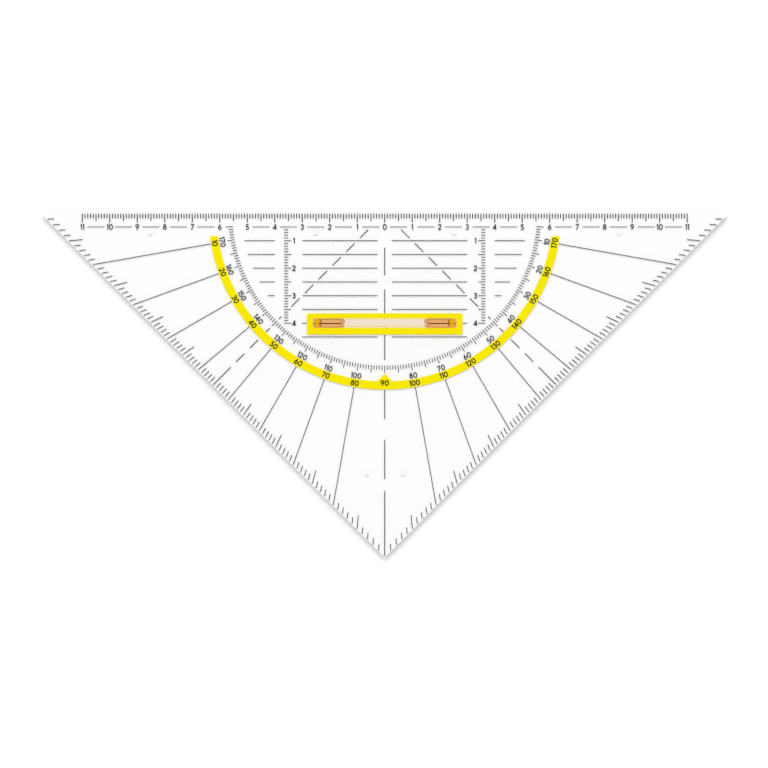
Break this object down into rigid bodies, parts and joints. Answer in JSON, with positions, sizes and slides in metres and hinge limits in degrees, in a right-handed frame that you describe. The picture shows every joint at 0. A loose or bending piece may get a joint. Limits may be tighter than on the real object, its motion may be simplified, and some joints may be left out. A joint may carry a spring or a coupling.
{
  "type": "protractor set square",
  "caption": "Clear 45 degree drawing set square with a ruler along its long side, a semicircular protractor, parallel guide lines and a lift-out bridge grip.",
  "frame": {"origin": "zero mark of the ruler on the ruler edge, at the height of the printed underside", "axes": "+X along the ruler to the right as it is read, +Y out of the ruler edge, +Z out of the reading face, where the grip stands"},
  "size_m": [0.2486, 0.1248, 0.0144],
  "materials": {
    "clear_plastic": "clear, polished",
    "tinted_plastic": "clear with a light orange tint, polished",
    "black_ink": "printed ink",
    "yellow_ink": "printed ink"
  },
  "bodies": {
    "set_square": {"plate": "clear_plastic", "ruler_graduations": "black_ink", "ruler_guide_dashes": "black_ink", "parallel_lines": "black_ink", "left_height_scale": "black_ink", "right_height_scale": "black_ink", "degree_ring": "black_ink", "left_edge_degree_ticks": "black_ink", "right_edge_degree_ticks": "black_ink", "angle_rays": "black_ink", "diagonal_dashes": "black_ink", "centre_line": "black_ink", "degree_band": "yellow_ink", "grip_surround": "yellow_ink"},
    "grip": {"handle": "tinted_plastic"}
  },
  "joints": [
    {"name": "handle_pull", "type": "slide", "parent": "set_square", "child": "grip", "axis": [0, 0, 1], "range_m": [0, 0.02]}
  ]
}
